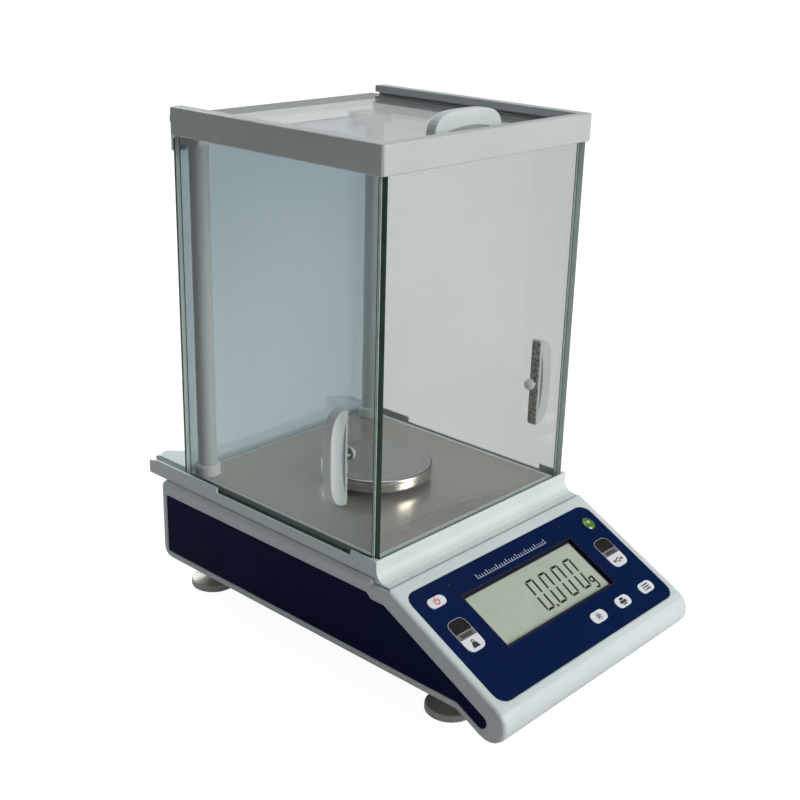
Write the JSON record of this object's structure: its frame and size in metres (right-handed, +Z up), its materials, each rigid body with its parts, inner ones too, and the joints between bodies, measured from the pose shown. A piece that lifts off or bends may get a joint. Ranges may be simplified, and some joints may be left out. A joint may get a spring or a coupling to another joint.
{
  "type": "analytical balance",
  "caption": "Laboratory balance: sloping keypad console and display, round pan in a chamber with sliding glass doors, and knurled levelling feet.",
  "frame": {"origin": "on the table under the middle of the balance's bounding box", "axes": "+Z up, the console and display face -Y, +X to the user's right"},
  "size_m": [0.224, 0.34, 0.3592],
  "materials": {
    "housing_grey": "light grey, fine texture, satin",
    "deck_grey": "light grey, satin",
    "navy_panel": "dark navy, satin",
    "keypad_navy": "blue printed film, satin",
    "brushed_steel": "brushed stainless steel",
    "polished_steel": "turned and polished stainless steel",
    "clear_glass": "clear float glass, green at the edges",
    "frame_grey": "grey paint, satin",
    "white_plastic": "white moulding",
    "black_plastic": "black moulding",
    "lcd": "reflective grey-green display",
    "level_green": "clear vial with green liquid",
    "circuit_board": "green laminate",
    "foot_rubber": "soft black pad"
  },
  "bodies": {
    "base": {"base_housing": "housing_grey", "base_plate": "brushed_steel", "side_panel_left": "navy_panel", "side_panel_right": "navy_panel", "rear_panel": "black_plastic", "power_jack": "black_plastic", "serial_port": "polished_steel", "weighing_deck": "deck_grey", "floor_plate": "brushed_steel", "keypad_panel": "keypad_navy", "display_bezel": "black_plastic", "lcd_screen": "lcd", "level_cup": "white_plastic", "level_vial": "level_green", "display_board": "circuit_board", "main_board": "circuit_board", "load_cell": "brushed_steel", "top_frame": "frame_grey", "column_left": "frame_grey", "column_right": "frame_grey", "collar_left": "white_plastic", "collar_right": "white_plastic", "column_cap_left": "white_plastic", "column_cap_right": "white_plastic", "pane_clip_left": "white_plastic", "pane_clip_right": "white_plastic", "front_glass": "clear_glass", "rear_glass": "clear_glass", "hook_cover": "black_plastic", "base_screw_1": "polished_steel", "base_screw_2": "polished_steel", "base_screw_3": "polished_steel", "base_screw_4": "polished_steel"},
    "left_door": {"left_door_glass": "clear_glass", "left_door_handle": "white_plastic", "left_door_nut": "white_plastic"},
    "right_door": {"right_door_glass": "clear_glass", "right_door_handle": "white_plastic", "right_door_nut": "white_plastic"},
    "top_door": {"top_door_glass": "clear_glass", "top_door_handle": "white_plastic", "top_door_nut": "white_plastic"},
    "pan_carrier_body": {"pan_carrier": "brushed_steel"},
    "pan_body": {"pan": "polished_steel"},
    "key_power_body": {"key_power": "white_plastic"},
    "key_left_body": {"key_left": "white_plastic"},
    "key_right_body": {"key_right": "white_plastic"},
    "key_front_1_body": {"key_front_1": "white_plastic"},
    "key_front_2_body": {"key_front_2": "white_plastic"},
    "key_front_3_body": {"key_front_3": "white_plastic"},
    "foot_front_left_pad_body": {"foot_pad_front_left": "foot_rubber"},
    "foot_front_left_screw_body": {"foot_screw_front_left": "polished_steel"},
    "foot_front_right_pad_body": {"foot_pad_front_right": "foot_rubber"},
    "foot_front_right_screw_body": {"foot_screw_front_right": "polished_steel"},
    "foot_rear_left_pad_body": {"foot_pad_rear_left": "foot_rubber"},
    "foot_rear_left_screw_body": {"foot_screw_rear_left": "polished_steel"},
    "foot_rear_right_pad_body": {"foot_pad_rear_right": "foot_rubber"},
    "foot_rear_right_screw_body": {"foot_screw_rear_right": "polished_steel"}
  },
  "joints": [
    {"name": "left_door_slide", "type": "slide", "parent": "base", "child": "left_door", "axis": [0, 1, 0], "range_m": [0, 0.135]},
    {"name": "right_door_slide", "type": "slide", "parent": "base", "child": "right_door", "axis": [0, 1, 0], "range_m": [0, 0.135]},
    {"name": "top_door_slide", "type": "slide", "parent": "base", "child": "top_door", "axis": [0, 1, 0], "range_m": [0, 0.135]},
    {"name": "pan_carrier_deflection", "type": "slide", "parent": "base", "child": "pan_carrier_body", "axis": [0, 0, 1], "range_m": [-0.0005, 0], "stiffness_N_per_m": 12000, "springref_m": 0.0005},
    {"name": "pan_lift_off", "type": "slide", "parent": "pan_carrier_body", "child": "pan_body", "axis": [0, 0, 1], "range_m": [0, 0.04]},
    {"name": "key_power_press", "type": "slide", "parent": "base", "child": "key_power_body", "axis": [0, 0.4509, -0.8926], "range_m": [0, 0.0005], "stiffness_N_per_m": 1500, "springref_m": -0.0003},
    {"name": "key_left_press", "type": "slide", "parent": "base", "child": "key_left_body", "axis": [0, 0.4509, -0.8926], "range_m": [0, 0.0005], "stiffness_N_per_m": 1500, "springref_m": -0.0003},
    {"name": "key_right_press", "type": "slide", "parent": "base", "child": "key_right_body", "axis": [0, 0.4509, -0.8926], "range_m": [0, 0.0005], "stiffness_N_per_m": 1500, "springref_m": -0.0003},
    {"name": "key_front_1_press", "type": "slide", "parent": "base", "child": "key_front_1_body", "axis": [0, 0.4509, -0.8926], "range_m": [0, 0.0005], "stiffness_N_per_m": 1500, "springref_m": -0.0003},
    {"name": "key_front_2_press", "type": "slide", "parent": "base", "child": "key_front_2_body", "axis": [0, 0.4509, -0.8926], "range_m": [0, 0.0005], "stiffness_N_per_m": 1500, "springref_m": -0.0003},
    {"name": "key_front_3_press", "type": "slide", "parent": "base", "child": "key_front_3_body", "axis": [0, 0.4509, -0.8926], "range_m": [0, 0.0005], "stiffness_N_per_m": 1500, "springref_m": -0.0003},
    {"name": "foot_front_left_lift", "type": "slide", "parent": "base", "child": "foot_front_left_pad_body", "axis": [0, 0, -1], "range_m": [0, 0.01]},
    {"name": "foot_front_left_turn", "type": "hinge", "parent": "foot_front_left_pad_body", "child": "foot_front_left_screw_body", "pos_m": [-0.0793, -0.1095, 0.0035], "axis": [0, 0, -1], "range_deg": [0, 2900]},
    {"name": "foot_front_right_lift", "type": "slide", "parent": "base", "child": "foot_front_right_pad_body", "axis": [0, 0, -1], "range_m": [0, 0.01]},
    {"name": "foot_front_right_turn", "type": "hinge", "parent": "foot_front_right_pad_body", "child": "foot_front_right_screw_body", "pos_m": [0.0793, -0.1095, 0.0035], "axis": [0, 0, -1], "range_deg": [0, 2900]},
    {"name": "foot_rear_left_lift", "type": "slide", "parent": "base", "child": "foot_rear_left_pad_body", "axis": [0, 0, -1], "range_m": [0, 0.01]},
    {"name": "foot_rear_left_turn", "type": "hinge", "parent": "foot_rear_left_pad_body", "child": "foot_rear_left_screw_body", "pos_m": [-0.0793, 0.1222, 0.0035], "axis": [0, 0, -1], "range_deg": [0, 2900]},
    {"name": "foot_rear_right_lift", "type": "slide", "parent": "base", "child": "foot_rear_right_pad_body", "axis": [0, 0, -1], "range_m": [0, 0.01]},
    {"name": "foot_rear_right_turn", "type": "hinge", "parent": "foot_rear_right_pad_body", "child": "foot_rear_right_screw_body", "pos_m": [0.0793, 0.1222, 0.0035], "axis": [0, 0, -1], "range_deg": [0, 2900]}
  ],
  "couplings": [
    {"joint": "foot_front_left_turn", "follows": "foot_front_left_lift", "rad_per_m": 5026.5},
    {"joint": "foot_front_right_turn", "follows": "foot_front_right_lift", "rad_per_m": 5026.5},
    {"joint": "foot_rear_left_turn", "follows": "foot_rear_left_lift", "rad_per_m": 5026.5},
    {"joint": "foot_rear_right_turn", "follows": "foot_rear_right_lift", "rad_per_m": 5026.5}
  ]
}
